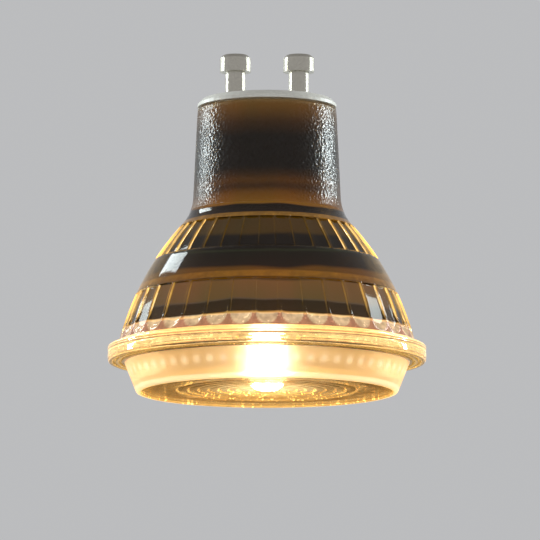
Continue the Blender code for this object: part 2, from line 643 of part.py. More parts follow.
def make_back_parts(board_foot):
    """The rectifier, the controller chip and the fusible resistor, on the board's back."""
    top = BOARD_TOP - PARTS_TOP_CLEARANCE
    epoxy = make_material("black_epoxy", (0.03, 0.03, 0.035), 0.45)
    size = Vector((RECTIFIER_WIDTH, RECTIFIER_DEPTH, RECTIFIER_HEIGHT))
    centre = (-RECTIFIER_OFFSET, BOARD_BACK + size.y / 2.0, top - size.z / 2.0)
    box_piece("bridge_rectifier", size, centre, COMPONENT_BEVEL, epoxy)

    size = Vector((CHIP_WIDTH, CHIP_DEPTH, CHIP_HEIGHT))
    foot = board_foot + PARTS_FOOT_CLEARANCE
    centre = (CHIP_OFFSET, BOARD_BACK + size.y / 2.0, foot + size.z / 2.0)
    box_piece("controller_chip", size, centre, COMPONENT_BEVEL, epoxy)

    low = top - FUSE_LENGTH
    waist = FUSE_RADIUS - FUSE_WAIST
    outline = [
        (0.0, low),
        (FUSE_RADIUS, low),
        (FUSE_RADIUS, low + FUSE_CAP_LENGTH),
        (waist, low + FUSE_CAP_LENGTH + FUSE_WAIST),
        (waist, top - FUSE_CAP_LENGTH - FUSE_WAIST),
        (FUSE_RADIUS, top - FUSE_CAP_LENGTH),
        (FUSE_RADIUS, top),
        (0.0, top),
    ]
    lacquer = make_material("grey_resistor_lacquer", (0.42, 0.48, 0.46), 0.5)
    place = (FUSE_OFFSET, BOARD_BACK + FUSE_RADIUS, 0.0)
    turned_piece("fuse_resistor", outline, COMPONENT_SEGMENTS, lacquer, location=place)


def smooth_route(route):
    """Points along one smooth curve through the route's own points."""
    ends = [2.0 * route[0] - route[1], *route, 2.0 * route[-1] - route[-2]]
    points = []
    for before, start, end, after in zip(ends, ends[1:], ends[2:], ends[3:]):
        for step in range(LEAD_POINTS_PER_SPAN):
            t = step / LEAD_POINTS_PER_SPAN
            pull = 2.0 * before - 5.0 * start + 4.0 * end - after
            ease = 3.0 * (start - end) + after - before
            points.append(start + 0.5 * t * (end - before + t * (pull + t * ease)))
    return points + [route[-1]]


def make_lead(name, route, finish):
    """An insulated lead: a tube along a smooth curve, with filled ends."""
    curve = bpy.data.curves.new(name, "CURVE")
    curve.dimensions = "3D"
    curve.bevel_depth = LEAD_RADIUS
    curve.bevel_resolution = LEAD_BEVEL_RESOLUTION
    curve.use_fill_caps = True
    points = smooth_route(route)
    spline = curve.splines.new("POLY")
    spline.points.add(len(points) - 1)
    for spline_point, point in zip(spline.points, points):
        spline_point.co = (*point, 1.0)
    curve.materials.append(finish)
    lead = bpy.data.objects.new(name, curve)
    bpy.context.scene.collection.objects.link(lead)


def make_mains_leads(tail_foot):
    """From under each pin's tail to the solder pads on the front of the board's top edge."""
    start = tail_foot - SEAT_GAP
    pad_height = BOARD_TOP - LEAD_RADIUS
    pad_depth = BOARD_FRONT - LEAD_RADIUS
    foot = BOARD_TOP - PARTS_TOP_CLEARANCE + SEAT_GAP
    leads = (("neutral_lead", -1.0, (0.05, 0.12, 0.45)), ("live_lead", 1.0, (0.28, 0.12, 0.05)))
    for name, side, colour in leads:
        x = side * PIN_SPACING / 2.0
        route = [
            Vector((x, 0.0, start)),
            Vector((x, pad_depth / 3.0, (2.0 * start + pad_height) / 3.0)),
            Vector((x, pad_depth, pad_height)),
            Vector((x, pad_depth, foot)),
        ]
        make_lead(name, route, make_material(name + "_sleeve", colour, 0.45))


def make_led_leads(driver_foot, spreader_roof, led_board_foot):
    """From the back of the driver board's foot, through the wire hole, to the LED board's face."""
    depth = BOARD_BACK + LEAD_RADIUS
    pad_height = led_board_foot - SEAT_GAP - LEAD_RADIUS
    above = spreader_roof + BOARD_FOOT_CLEARANCE / 3.0
    pad_edge = PACKAGE_WIDTH / 2.0 + LEAD_RADIUS + SEAT_GAP
    leads = (("led_lead_negative", -1.0, (0.04, 0.04, 0.05)), ("led_lead_positive", 1.0, (0.55, 0.04, 0.03)))
    for name, side, colour in leads:
        x = side * LEAD_PITCH / 2.0
        route = [
            Vector((x, depth, driver_foot + LEAD_OVERLAP)),
            Vector((x, depth, driver_foot)),
            Vector((x, (depth + WIRE_HOLE_OFFSET) / 2.0, (driver_foot + above) / 2.0)),
            Vector((x, WIRE_HOLE_OFFSET, above)),
            Vector((x, WIRE_HOLE_OFFSET, (above + pad_height) / 2.0)),
            Vector((x, WIRE_HOLE_OFFSET, led_board_foot)),
            Vector((x, (WIRE_HOLE_OFFSET + pad_edge) / 2.0, pad_height)),
            Vector((x, pad_edge, pad_height)),
        ]
        make_lead(name, route, make_material(name + "_sleeve", colour, 0.45))


def main():
    clear_scene()
    make_glass_body()
    spreader_floor, spreader_roof = make_heat_spreader()
    led_board_foot, source_height = make_light_source(spreader_floor, spreader_roof)
    make_front_lens(source_height)
    make_base_plug()
    tail_foot = make_contact_pins()
    driver_foot = spreader_roof + BOARD_FOOT_CLEARANCE
    make_driver_board(driver_foot)
    make_front_parts(driver_foot)
    make_back_parts(driver_foot)
    make_mains_leads(tail_foot)
    make_led_leads(driver_foot, spreader_roof, led_board_foot)


main()
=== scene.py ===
import math

import bmesh
import bpy
from mathutils import Matrix, Quaternion, Vector


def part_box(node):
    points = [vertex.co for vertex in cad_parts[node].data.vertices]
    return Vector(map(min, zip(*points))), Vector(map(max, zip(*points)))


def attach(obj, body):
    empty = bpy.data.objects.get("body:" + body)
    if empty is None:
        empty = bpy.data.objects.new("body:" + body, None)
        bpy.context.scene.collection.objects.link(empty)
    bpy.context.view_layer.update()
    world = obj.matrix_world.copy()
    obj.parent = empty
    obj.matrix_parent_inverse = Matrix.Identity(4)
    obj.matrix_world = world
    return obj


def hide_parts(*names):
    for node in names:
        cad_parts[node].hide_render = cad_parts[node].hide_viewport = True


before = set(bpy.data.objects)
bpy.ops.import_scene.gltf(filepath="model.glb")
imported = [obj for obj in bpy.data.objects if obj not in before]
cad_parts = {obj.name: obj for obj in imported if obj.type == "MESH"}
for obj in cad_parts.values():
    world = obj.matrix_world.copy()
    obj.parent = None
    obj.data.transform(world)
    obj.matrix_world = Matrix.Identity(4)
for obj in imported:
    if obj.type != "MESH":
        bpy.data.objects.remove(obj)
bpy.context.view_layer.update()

mm = 0.001
mergeDistance = 0.0005 * mm
noiseRange = (0.3, 0.7)  # where nearly all of a noise lies
print("frame loaded:", len(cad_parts), "nodes")


# Tools for materials

def nodeOf(tree, kind, **settings):
    node = tree.nodes.new(kind)
    for name, value in settings.items():
        setattr(node, name, value)
    return node


def objectCoordinates(tree):
    return nodeOf(tree, "ShaderNodeTexCoord").outputs["Object"]


def splitVector(tree, vector):
    split = nodeOf(tree, "ShaderNodeSeparateXYZ")
    tree.links.new(vector, split.inputs["Vector"])
    return split.outputs


def mapRange(tree, value, start, end, low=0.0, high=1.0, **settings):
    # turns start..end into low..high
    span = nodeOf(tree, "ShaderNodeMapRange", **settings)
    ends = {"From Min": start, "From Max": end, "To Min": low, "To Max": high}
    for socket, number in ends.items():
        span.inputs[socket].default_value = number
    tree.links.new(value, span.inputs["Value"])
    return span.outputs["Result"]


def mathOf(tree, operation, *values):
    # each value is a number, or the output of another node
    node = nodeOf(tree, "ShaderNodeMath", operation=operation)
    for socket, value in zip(node.inputs, values):
        if isinstance(value, float):
            socket.default_value = value
        else:
            tree.links.new(value, socket)
    return node.outputs["Value"]


def colourRamp(tree, factor, stops):
    # stops: (place, colour)
    ramp = nodeOf(tree, "ShaderNodeValToRGB")
    elements = ramp.color_ramp.elements
    while len(elements) < len(stops):
        elements.new(0.5)
    for element, (place, colour) in zip(elements, stops):
        element.position = place
        element.color = (*colour, 1.0)
    tree.links.new(factor, ramp.inputs["Fac"])
    return ramp.outputs["Color"]


def colourSpread(tree, factor, colour, spread):
    # a colour that drifts a little darker and lighter
    darker = [channel * (1.0 - spread) for channel in colour]
    lighter = [min(1.0, channel * (1.0 + spread)) for channel in colour]
    return colourRamp(tree, factor, tuple(zip(noiseRange, (darker, lighter))))


def noiseField(tree, grain, detail=3.0, stretch=None):
    noise = nodeOf(tree, "ShaderNodeTexNoise")
    noise.inputs["Scale"].default_value = 1.0 / grain
    noise.inputs["Detail"].default_value = detail
    place = objectCoordinates(tree)
    if stretch:
        mapping = nodeOf(tree, "ShaderNodeMapping")
        mapping.inputs["Scale"].default_value = stretch
        tree.links.new(place, mapping.inputs["Vector"])
        place = mapping.outputs["Vector"]
    tree.links.new(place, noise.inputs["Vector"])
    return noise.outputs["Fac"]


def addBump(tree, shader, height, strength, distance):
    bump = nodeOf(tree, "ShaderNodeBump")
    bump.inputs["Strength"].default_value = strength
    bump.inputs["Distance"].default_value = distance
    tree.links.new(height, bump.inputs["Height"])
    tree.links.new(bump.outputs["Normal"], shader.inputs["Normal"])


def startMaterial(name, look):
    # what is the same all over a finish goes straight on the shader's sockets
    material = bpy.data.materials.new(name)
    material.use_nodes = True
    shader = material.node_tree.nodes["Principled BSDF"]
    shader.inputs["Base Color"].default_value = (*look["colour"], 1.0)
    shader.inputs["Roughness"].default_value = look["roughness"]
    shader.inputs["Metallic"].default_value = look.get("metallic", 0.0)
    shader.inputs["IOR"].default_value = look.get("ior", 1.5)
    shader.inputs["Transmission Weight"].default_value = look.get("transmission", 0.0)
    shader.inputs["Specular IOR Level"].default_value = look.get("gloss", 0.5)
    shader.inputs["Specular Tint"].default_value = (*look.get("edgeTint", (1.0, 1.0, 1.0)), 1.0)
    shader.inputs["Emission Color"].default_value = (*look.get("glowColour", look["colour"]), 1.0)
    shader.inputs["Emission Strength"].default_value = look.get("glow", 0.0)
    return material, material.node_tree, shader


# The everyday finish, unless a look says otherwise
everyday = {
    "roughnessLevels": (0.8, 1.2),
    "bump": 0.2,
    "bumpHeight": 0.1,  # of the size of the grain
}


def grainyMaterial(name, look):
    # drifting colour, uneven gloss and a fine bump
    material, tree, shader = startMaterial(name, look)
    field = noiseField(tree, look["grain"])
    colour = colourSpread(tree, field, look["colour"], look["spread"])
    smoother, rougher = (look["roughness"] * level for level in everyday["roughnessLevels"])
    uneven = mapRange(tree, field, 0.0, 1.0, smoother, min(1.0, rougher))
    tree.links.new(colour, shader.inputs["Base Color"])
    tree.links.new(uneven, shader.inputs["Roughness"])
    strength = look.get("bump", everyday["bump"])
    addBump(tree, shader, field, strength, look["grain"] * everyday["bumpHeight"])
    return material


def litMaterial(name, look):
    # a glowing finish, with small cells of lighter and darker light
    material, tree, shader = startMaterial(name, look)
    cells = noiseField(tree, look["grain"], look["detail"])
    light = colourSpread(tree, cells, look["glowColour"], look["spread"])
    tree.links.new(light, shader.inputs["Emission Color"])
    if "bump" in look:
        addBump(tree, shader, cells, look["bump"], look["bumpHeight"])
    return material


# Painted warm light at the edges of glass and clear plastic, with painted glints. The mesh
# carries its colour, and a noise makes it uneven.
edgeLight = {
    "attribute": "glow",
    "grain": 1.3 * mm,
    "detail": 4.0,
    "levels": (0.55, 1.3),
    "glintRange": (0.63, 0.70),  # only the peaks of a fine noise are glints
    "glintDetail": 1.0,
}


def clearMaterial(name, look):
    # glass or clear plastic, with painted light from the mesh and painted glints
    # waves: grain, detail, strength and height. glints: level and grain.
    material, tree, shader = startMaterial(name, look)
    if "glow" in look:
        glow = nodeOf(tree, "ShaderNodeAttribute", attribute_name=edgeLight["attribute"])
        tree.links.new(glow.outputs["Color"], shader.inputs["Emission Color"])
    if "glints" in look:
        glintLevel, glintGrain = look["glints"]
        field = noiseField(tree, edgeLight["grain"], edgeLight["detail"])
        uneven = mapRange(tree, field, *noiseRange, *edgeLight["levels"])
        peaks = noiseField(tree, glintGrain, edgeLight["glintDetail"])
        glints = mapRange(tree, peaks, *edgeLight["glintRange"], 0.0, glintLevel)
        tree.links.new(mathOf(tree, "ADD", uneven, glints), shader.inputs["Emission Strength"])
    grain, detail, strength, height = look["waves"]
    addBump(tree, shader, noiseField(tree, grain, detail), strength, height)
    return material


# Tools for shapes

def clamped(value):
    return min(1.0, max(0.0, value))


def eased(value):
    # a smooth step from 0 to 1
    value = clamped(value)
    return value * value * (3.0 - 2.0 * value)


def scaled(colour, level):
    return [channel * level for channel in colour]


def arcPoint(start, end, turning, share):
    # a point on the arc from start to end that turns by that angle, and the unit normal there,
    # on the side to which the arc bulges
    chord = end - start
    radius = chord.length / (2.0 * math.sin(turning / 2.0))
    left = Vector((-chord.y, chord.x)).normalized()
    centre = (start + end) / 2.0 - left * radius * math.cos(turning / 2.0)
    normal = Matrix.Rotation(turning * (0.5 - share), 2) @ left
    return centre + normal * radius, normal


def roundedCorner(before, corner, after, fillet, steps=4):
    # the points of one corner: itself, or a curve between the two tangent points of its fillet
    if fillet <= 0.0:
        return [corner]
    toBefore, toAfter = before - corner, after - corner
    reach = fillet / math.tan(toBefore.angle(toAfter) / 2.0)
    first = corner + toBefore.normalized() * reach
    last = corner + toAfter.normalized() * reach
    curve = []
    for step in range(steps + 1):
        share = step / steps
        rest = 1.0 - share
        curve.append(rest**2 * first + 2.0 * share * rest * corner + share**2 * last)
    return curve


def roundedOutline(corners):
    # corners: (radius, height, fillet), as a closed ring
    # the last one only steers, and gives no point
    points = [Vector(corner[:2]) for corner in corners]
    outline = []
    for index, corner in enumerate(corners[:-1]):
        outline += roundedCorner(points[index - 1], points[index], points[index + 1], corner[2])
    return outline


def spinOutline(bm, outline, steps, closed, mark):
    # lays the outline in the XZ plane, lets mark note each point's row, and spins it once round Z
    points = [bm.verts.new((radius, 0.0, height)) for radius, height in outline]
    followers = points[1:] + points[:1] if closed else points[1:]
    edges = [bm.edges.new(pair) for pair in zip(points, followers)]
    for row, point in enumerate(points):
        mark(row, point)
    bmesh.ops.spin(
        bm, geom=points + edges, cent=(0.0, 0.0, 0.0), axis=(0.0, 0.0, 1.0),
        angle=math.tau, steps=steps, use_merge=True,
    )


def addObject(name, data):
    holder = bpy.data.objects.new(name, data)
    bpy.context.scene.collection.objects.link(holder)
    return holder


def addMesh(name, bm, materials):
    mesh = bpy.data.meshes.new(name)
    bm.to_mesh(mesh)
    bm.free()
    for material in materials:
        mesh.materials.append(material)
    return addObject(name, mesh)


def finishPiece(name, bm, materials, replaced=(), smoothAngle=30.0):
    bmesh.ops.remove_doubles(bm, verts=bm.verts, dist=mergeDistance)
    bmesh.ops.recalc_face_normals(bm, faces=bm.faces)
    openEdges = sum(not edge.is_manifold for edge in bm.edges)
    piece = addMesh(name, bm, materials)
    piece.data.shade_smooth()
    piece.data.set_sharp_from_angle(angle=math.radians(smoothAngle))
    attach(piece, "root")
    if replaced:
        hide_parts(*replaced)
    print(name, "made:", len(piece.data.polygons), "faces,", openEdges, "open edges")
    return piece


# Camera: a long lens that looks up at the bulb a little.
# Places are pixels of the 540 x 540 photograph.
camera = {
    "frameWidth": 540.0,
    "axisPixel": 267.0,  # across, of the bulb's axis
    "facePixel": 392.5,  # down, of the middle of the lens face
    "rimPixels": 318.0,
    "rimWidth": 50.0 * mm,
    "elevation": -8.0,
    "distance": 1.0,
    "sensorWidth": 36.0,
    "clip": (0.05, 20.0),
}


def makeCamera(spec):
    pixelSize = spec["rimWidth"] / spec["rimPixels"]
    middle = spec["frameWidth"] / 2.0
    tilt = math.radians(spec["elevation"])
    across = (middle - spec["axisPixel"]) * pixelSize
    height = (spec["facePixel"] - middle) * pixelSize / math.cos(tilt)
    aim = Vector((across, 0.0, height))
    optics = bpy.data.cameras.new("photoCamera")
    optics.sensor_width = spec["sensorWidth"]
    optics.lens = spec["sensorWidth"] * spec["distance"] / (spec["frameWidth"] * pixelSize)
    optics.clip_start, optics.clip_end = spec["clip"]
    holder = addObject("photoCamera", optics)
    back = Vector((0.0, -math.cos(tilt), math.sin(tilt)))
    holder.location = aim + back * spec["distance"]
    holder.rotation_euler = (-back).to_track_quat("-Z", "Y").to_euler()
    bpy.context.scene.camera = holder


makeCamera(camera)
bpy.context.scene.view_settings.view_transform = "Standard"
print("camera set")


# Studio: a pale floor, pale surroundings, and soft lamps behind the bulb that draw the highlights
# on its glass
studio = {
    "floorHeight": -0.05 * mm,
    "floorWidth": 6.0,
    "floorLook": {
        "colour": (0.78, 0.78, 0.77), "roughness": 0.9, "grain": 60.0 * mm, "spread": 0.015},
    "surroundings": (  # height on the sky's ball, colour
        (0.30, (0.50, 0.505, 0.515)),
        (0.80, (0.34, 0.34, 0.345))),
    "lampTarget": 25.0 * mm,
    "lampDistance": 1.1,
    "lampColour": (0.87, 0.97, 0.98),
    "lamps": {  # turn round the bulb, lift above its level, roll, width, height, radiance
        "neckLampLeft": (-116.0, 11.0, 0.0, 0.11, 0.38, 50.0),
        "neckLampRight": (118.0, 11.0, 0.0, 0.11, 0.38, 54.0),
        "bandLampLeft": (-126.0, 37.0, 30.0, 0.40, 0.12, 9.0),
        "bowlLampLeft": (-135.0, 21.0, 16.0, 0.42, 0.09, 5.0),
        "bowlLampRight": (117.0, 26.5, -14.0, 0.40, 0.15, 7.0),
    },
}


def makeLamp(name, spec, turn, lift, roll, width, height, radiance):
    light = bpy.data.lights.new(name, "AREA")
    light.shape = "RECTANGLE"
    light.size, light.size_y = width, height
    light.color = spec["lampColour"]
    light.energy = radiance * math.pi * width * height
    turn, lift = math.radians(turn), math.radians(lift)
    level = math.cos(lift)
    way = Vector((math.sin(turn) * level, -math.cos(turn) * level, math.sin(lift)))
    target = Vector((0.0, 0.0, spec["lampTarget"]))
    place = target + way * spec["lampDistance"]
    facing = (target - place).to_track_quat("-Z", "Y")
    rolled = Quaternion((0.0, 0.0, 1.0), math.radians(roll))
    holder = addObject(name, light)
    holder.location = place
    holder.rotation_euler = (facing @ rolled).to_euler()


def makeFloorMaterial(look):
    # pale and matt; from underneath it lets the view through
    material, tree, shader = startMaterial("paleFloor", look)
    field = noiseField(tree, look["grain"])
    colour = colourSpread(tree, field, look["colour"], look["spread"])
    tree.links.new(colour, shader.inputs["Base Color"])
    clear = nodeOf(tree, "ShaderNodeBsdfTransparent")
    side = nodeOf(tree, "ShaderNodeNewGeometry").outputs["Backfacing"]
    mix = nodeOf(tree, "ShaderNodeMixShader")
    tree.links.new(side, mix.inputs["Fac"])
    tree.links.new(shader.outputs["BSDF"], mix.inputs[1])
    tree.links.new(clear.outputs["BSDF"], mix.inputs[2])
    tree.links.new(mix.outputs["Shader"], tree.nodes["Material Output"].inputs["Surface"])
    return material


def makeWorld(surroundings):
    world = bpy.data.worlds.new("paleStudio")
    world.use_nodes = True
    tree = world.node_tree
    background = tree.nodes["Background"]
    direction = splitVector(tree, nodeOf(tree, "ShaderNodeTexCoord").outputs["Generated"])
    tree.links.new(colourRamp(tree, direction["Z"], surroundings), background.inputs["Color"])
    background.inputs["Strength"].default_value = 1.0
    bpy.context.scene.world = world


def makeStudio(spec):
    bm = bmesh.new()
    level = Matrix.Translation((0.0, 0.0, spec["floorHeight"]))
    bmesh.ops.create_grid(
        bm, x_segments=1, y_segments=1, size=spec["floorWidth"] / 2.0, matrix=level,
    )
    addMesh("paleFloor", bm, [makeFloorMaterial(spec["floorLook"])])
    makeWorld(spec["surroundings"])
    for name, lamp in spec["lamps"].items():
        makeLamp(name, spec, *lamp)


makeStudio(studio)
print("studio set")


# Pressed glass body: rim, fluted bowl, smooth band, shoulder and neck, with a dark mirror film
# inside that carries painted bands of warm light and shade. A share is how far up the curve of the
# bowl or the flare a row lies, from 0 to 1.
glass = {
    "rimThickness": 0.95 * mm,
    "rimRounding": 0.42 * mm,
    "rimFootRounding": 0.25 * mm,
    "mouthRounding": 0.15 * mm,
    "rimLine": 0.40 * mm,
    "rimLineWidth": 0.14 * mm,
    "rimLineDepth": 0.06 * mm,
    "lip": 1.7 * mm,
    "lipSteps": (  # share of the lip, height above the rim, fillet
        (0.34, 0.0, 0.0), (0.40, -0.12 * mm, 0.0), (0.46, 0.05 * mm, 0.0),
        (0.62, 0.12 * mm, 0.0), (0.74, 0.42 * mm, 0.2 * mm)),
    "fillet": 0.5 * mm,
    "bowlHeight": 18.8 * mm,
    "bowlTurn": 27.0,
    "bowlWall": 2.2 * mm,
    "shoulderRadius": 13.3 * mm,
    "flare": 1.68 * mm,
    "flareHeight": 4.3 * mm,
    "flareTurn": 39.0,
    "neckTaper": 0.67 * mm,
    "neckWall": 1.6 * mm,
    "neckRounding": 0.35 * mm,
    "neckInnerRounding": 0.2 * mm,
    "neckRows": 10,
    "flareInnerRows": 6,
    "bowlInnerRows": 16,
    "lowerTier": (0.0, 0.38),
    "upperTier": (0.66, 0.97),
    "bandShares": (0.385, 0.39, 0.395, 0.415, 0.435, 0.445, 0.48, 0.52, 0.56, 0.60, 0.64),
    "shoulderShares": (0.975, 0.985, 0.993),
    "flareShares": (0.0, 0.04, 0.06, 0.14, 0.25, 0.37, 0.5, 0.62, 0.75, 0.87, 1.0),
    "tierEnd": 0.02,  # the share over which rows crowd at the end of a tier
    "tierRows": (14, 7, 4),  # over the lobes, the middle and a plain end
    "flutes": 36,
    "fluteStations": (0.0, 0.2, 0.38, 0.54, 0.68, 0.79, 0.87, 0.9, 1.0),  # from middle to ridge
    "fluteDepth": 0.42 * mm,
    "fluteWall": (0.87, 0.90),
    "fluteSlack": 0.001,
    "fluteHollow": 0.2,
    "fluteEnd": 0.012,
    "lobeShare": 0.09,
    "lobeSlope": 0.06,
    "lobeWidth": 0.86,
    "lobeEdge": 0.008,
    "filmStart": 7.0 * mm,
    "neckFinishShare": 0.5,  # of the flare, where the stippled finish of the neck begins
    "ridgeStart": 0.9,  # of a lobe's height, where the painted light on the sides of the ridges begins
    "rimGlow": (0.56, 0.37, 0.15),
    "rimFootLevel": 0.8,
    "rimFootPoints": 6,
    "rimLevels": (1.2, 0.2, 1.1, 0.3, 1.0, 0.05),  # painted bright and dark lines of light, in turn, up the rim
    "mouthGlow": (0.27, 0.120, 0.068),
    "lobeGlow": (0.52, 0.395, 0.225),
    "ringGlow": (0.10, 0.042, 0.003),
    "ringShares": (0.388, 0.44),
    "bandGlow": (0.14, 0.085, 0.018),
    "bandSide": (0.80, 0.97),
    "shoulderGlow": (0.17, 0.08, 0.010),
    "shoulderStart": 0.966,
    "shoulderEnd": 0.04,  # of the flare
    "ridgeGlow": (0.46, 0.26, 0.055),
    "ridgeCentre": 0.10,
    "ridgeSide": (0.50, 0.78),
    "ridgeGrain": 3.0 * mm,
    "ridgeLevels": (0.4, 1.4),
    "smoothAngle": 60.0,
}
glassLooks = {
    "bowlGlass": {
        "colour": (1.0, 0.86, 0.62), "roughness": 0.07, "transmission": 1.0, "ior": 1.42,
        "gloss": 0.4, "glow": 1.0, "glints": (0.7, 0.55 * mm),
        "waves": (6.0 * mm, 2.0, 0.25, 0.25 * mm)},
    "neckGlass": {
        "colour": (0.88, 0.66, 0.36), "roughness": 0.28, "transmission": 1.0, "ior": 1.38,
        "waves": (0.42 * mm, 0.0, 1.0, 0.12 * mm)},
    "mirrorFilmPaintedBands": {
        "colour": (0.008, 0.005, 0.002), "roughness": 0.3, "metallic": 1.0,
        "edgeTint": (0.10, 0.06, 0.025), "glow": 1.0},
}
film = {
    "sway": 0.045,
    "swayGrain": 11.0 * mm,
    "swayDetail": 1.5,
    "streakGrain": 5.0 * mm,
    "streakDetail": 2.0,
    "streakStretch": (1.0, 1.0, 0.12),
    "streaks": ((0.36, (0.84, 0.88, 0.80)), (0.62, (1.0, 0.90, 0.95))),
    "waves": (4.0 * mm, 2.0, 0.3, 0.3 * mm),
    "bands": (  # height in mm and the painted light and shade there
        (7.0, (0.30, 0.150, 0.060)),
        (7.7, (0.20, 0.085, 0.035)),
        (9.4, (0.20, 0.105, 0.065)),
        (9.6, (0.80, 0.48, 0.16)),
        (9.75, (0.55, 0.30, 0.07)),
        (9.95, (0.034, 0.018, 0.003)),
        (11.7, (0.026, 0.014, 0.002)),
        (11.9, (0.090, 0.066, 0.045)),
        (12.1, (0.125, 0.075, 0.026)),
        (15.0, (0.155, 0.080, 0.026)),
        (15.5, (0.050, 0.022, 0.003)),
        (15.9, (0.110, 0.048, 0.004)),
        (17.0, (0.110, 0.048, 0.004)),
        (17.5, (0.012, 0.006, 0.002)),
        (19.8, (0.006, 0.004, 0.001)),
        (20.0, (0.020, 0.028, 0.011)),
        (20.3, (0.005, 0.003, 0.001)),
        (22.7, (0.005, 0.003, 0.001)),
        (23.3, (0.050, 0.029, 0.003)),
        (25.6, (0.050, 0.027, 0.002)),
        (26.1, (0.012, 0.006, 0.001)),
        (27.1, (0.008, 0.004, 0.001)),
        (27.9, (0.006, 0.003, 0.001)),
        (28.15, (0.180, 0.085, 0.008)),
        (30.0, (0.115, 0.050, 0.003)),
        (31.2, (0.030, 0.012, 0.001)),
        (32.2, (0.065, 0.027, 0.001)),
        (33.2, (0.026, 0.011, 0.001)),
        (34.4, (0.003, 0.002, 0.001)),
        (39.5, (0.003, 0.002, 0.001)),
        (41.6, (0.030, 0.014, 0.002)),
        (44.5, (0.120, 0.062, 0.008)),
    ),
}
bowlFinish, neckFinish, filmFinish, ridgeFinish = range(4)
offBowl = -1.0  # the bowl share of a row that isn't on the outside of the bowl
dark = (0.0, 0.0, 0.0)
glassLow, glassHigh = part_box("glass_body")
rimRadius, rimBottom, neckEnd = glassHigh.x, glassLow.z, glassHigh.z


def bowlPlace(spec, share, inset=0.0):
    mouth = Vector((rimRadius - spec["lip"], rimBottom + spec["rimThickness"] + spec["fillet"]))
    shoulder = Vector((spec["shoulderRadius"], mouth.y + spec["bowlHeight"]))
    point, normal = arcPoint(shoulder, mouth, math.radians(spec["bowlTurn"]), 1.0 - share)
    return point - normal * inset


def flarePlace(spec, share, inset=0.0):
    shoulder = bowlPlace(spec, 1.0)
    root = Vector((shoulder.x - spec["flare"], shoulder.y + spec["flareHeight"]))
    point, normal = arcPoint(shoulder, root, math.radians(spec["flareTurn"]), share)
    return point + normal * inset


def tierShares(spec, tier, lobe):
    # rows crowd where a flute runs out
    low, high = tier
    end = spec["tierEnd"]
    edge = lobe + end
    lobeRows, middleRows, endRows = spec["tierRows"]
    crowd = lobeRows if lobe else endRows
    middle = high - end - (low + edge)
    shares = [low + edge * step / crowd for step in range(crowd + 1)]
    shares += [low + edge + middle * step / middleRows for step in range(1, middleRows + 1)]
    shares += [high - end + end * step / endRows for step in range(1, endRows + 1)]
    return shares


def lobeFoot(low, lobe, across, width):
    # the round lower end of a flute
    side = min(1.0, abs(across) / width)
    return low + lobe * (1.0 - math.sqrt(1.0 - side**2))


def fluteEase(spec, share, across):
    # 0 outside the flutes, 1 well inside one: across runs from -1 to 1 between two ridges
    for low, high, lobe in ((*spec["lowerTier"], spec["lobeShare"]), (*spec["upperTier"], 0.0)):
        if low <= share <= high:
            foot = lobeFoot(low, lobe, across, spec["fluteWall"][0])
            slope = spec["lobeSlope"] if lobe else spec["fluteEnd"]
            return eased((share - foot) / slope) * eased((high - share) / spec["fluteEnd"])
    return 0.0


def fluteProfile(spec, across):
    # how deep a flute is across its width: a slightly hollow floor between two steep walls
    foot, top = spec["fluteWall"]
    side = abs(across)
    if side >= top:
        return 0.0
    hollow = 1.0 - spec["fluteHollow"] * min(1.0, side / foot) ** 2
    return hollow if side < foot + spec["fluteSlack"] else hollow * (top - side) / (top - foot)


def lobeLight(spec, share, across):
    # painted light: pale lobes at the feet of the flutes, and a rosy glow on the mouth of the glass
    # between them
    low = spec["lowerTier"][0]
    edge = spec["lobeEdge"]
    top = low + spec["lobeShare"] + edge / 2.0
    if share >= top:
        return Vector(dark)
    lobe = 0.0
    if abs(across) < spec["lobeWidth"]:
        lobe = clamped((share - lobeFoot(low, spec["lobeShare"], across, spec["lobeWidth"])) / edge)
    light = Vector(spec["mouthGlow"]) * (1.0 - lobe) + Vector(spec["lobeGlow"]) * lobe
    return light * clamped((top - share) / edge)


def bandLight(spec, share, angle):
    # painted light on the smooth band, stronger towards the two flanks of the bulb
    if not spec["lowerTier"][1] < share < spec["upperTier"][0]:
        return Vector(dark)
    start, full = spec["bandSide"]
    return Vector(spec["bandGlow"]) * clamped((abs(math.cos(angle)) - start) / (full - start))


def rimRows(spec, rimTop, mouthBore):
    line, halfLine = rimBottom + spec["rimLine"], spec["rimLineWidth"] / 2.0
    corners = [
        (mouthBore, rimBottom, spec["mouthRounding"]),
        (rimRadius, rimBottom, spec["rimFootRounding"]),
        (rimRadius, line - halfLine, 0.0),
        (rimRadius - spec["rimLineDepth"], line, 0.0),
        (rimRadius, line + halfLine, 0.0),
        (rimRadius, rimTop, spec["rimRounding"]),
    ]
    for along, up, fillet in spec["lipSteps"]:
        corners.append((rimRadius - spec["lip"] * along, rimTop + up, fillet))
    corners += [(*bowlPlace(spec, 0.0), 0.0), (mouthBore, rimTop, 0.0)]
    # painted lines of light along the rim
    levels = spec["rimLevels"]
    rows = []
    for index, point in enumerate(roundedOutline(corners)):
        level = levels[index % len(levels)]
        if index < spec["rimFootPoints"]:
            level = spec["rimFootLevel"]
        rows.append((point, offBowl, 0.0, scaled(spec["rimGlow"], level)))
    return rows


def bowlRows(spec):
    shares = tierShares(spec, spec["lowerTier"], spec["lobeShare"])
    shares += spec["bandShares"]
    shares += tierShares(spec, spec["upperTier"], 0.0)
    shares += spec["shoulderShares"]
    ringStart, ringEnd = spec["ringShares"]
    rows = []
    for share in shares:
        # the rings and the shoulder get painted light
        glow = dark
        if ringStart < share < ringEnd:
            glow = spec["ringGlow"]
        elif share > spec["shoulderStart"]:
            glow = spec["shoulderGlow"]
        rows.append((bowlPlace(spec, share), share, 0.0, glow))
    return rows


